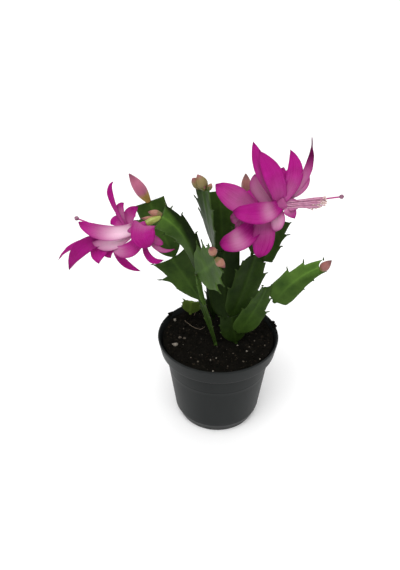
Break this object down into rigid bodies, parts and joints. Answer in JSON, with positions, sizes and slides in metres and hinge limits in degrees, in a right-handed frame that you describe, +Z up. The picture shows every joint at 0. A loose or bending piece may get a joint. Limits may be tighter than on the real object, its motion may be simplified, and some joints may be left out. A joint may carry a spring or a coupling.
{
  "type": "potted christmas cactus",
  "caption": "Christmas cactus with flat toothed stem segments, magenta two-tier blooms and pink buds, planted in a dark tapered nursery pot",
  "frame": {"origin": "centre of the pot's flat base", "axes": "+Z up through the pot's axis, -Y towards the front, +X to the right, where the larger bloom is"},
  "size_m": [0.178, 0.0935, 0.2266],
  "materials": {
    "pot": "satin dark grey",
    "soil": "near-black crumbly compost",
    "stem": "waxy dark green",
    "young_stem": "waxy light green",
    "bud": "waxy salmon pink",
    "petals": "silky magenta, white towards the base",
    "ovary": "glossy yellow green",
    "stamens": "soft pale pink",
    "style": "smooth deep magenta"
  },
  "bodies": {
    "root": {"pot": "pot", "soil": "soil", "left_stem_segment_1": "young_stem", "back_stem_segment_1": "stem", "middle_stem_segment_1": "stem", "middle_stem_segment_2": "stem", "middle_stem_segment_3": "stem", "middle_stem_segment_4": "stem", "middle_stem_segment_5": "stem", "middle_stem_segment_6": "stem", "right_stem_segment_1": "stem", "right_stem_segment_2": "stem", "right_stem_segment_3": "stem", "right_stem_segment_4": "stem", "right_stem_segment_5": "stem", "right_stem_segment_6": "stem", "right_stem_segment_7": "stem", "right_stem_segment_8": "stem", "right_stem_segment_9": "stem", "right_stem_segment_10": "stem", "bud_long": "bud", "bud_left_upper": "bud", "bud_left_lower": "bud", "bud_middle_front": "bud", "bud_middle_back": "bud", "bud_right_side": "bud", "bud_right_back": "bud", "bud_top_left": "bud", "bud_top_middle": "bud", "bud_top_front": "bud", "bud_top_right": "bud", "bloom_left_ovary": "ovary", "bloom_left_petals": "petals", "bloom_left_stamens": "stamens", "bloom_left_style": "style", "bloom_right_ovary": "ovary", "bloom_right_petals": "petals", "bloom_right_stamens": "stamens", "bloom_right_style": "style"}
  },
  "joints": []
}
